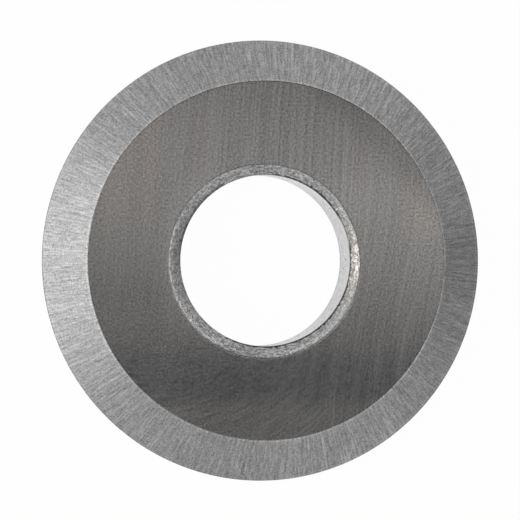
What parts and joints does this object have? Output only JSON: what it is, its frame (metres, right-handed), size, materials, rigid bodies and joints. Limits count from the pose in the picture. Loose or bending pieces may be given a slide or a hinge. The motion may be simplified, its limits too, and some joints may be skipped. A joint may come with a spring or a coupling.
{
  "type": "tile cutter wheel",
  "caption": "Double-bevelled tungsten carbide scoring wheel with a plain bore, runs on the axle pin of a manual tile cutter.",
  "frame": {"origin": "centre of the wheel: on the axis of its bore, halfway through its thickness, in the plane of the cutting edge", "axes": "+Z along the wheel's axis, square to its two flat faces; the wheel lies on one face, and +X and +Y are alike apart from the bore chamfers, which lie slightly off the axis"},
  "size_m": [0.016, 0.016, 0.003],
  "materials": {
    "ground_carbide": "ground"
  },
  "bodies": {
    "root": {"scoring_wheel": "ground_carbide"}
  },
  "joints": []
}
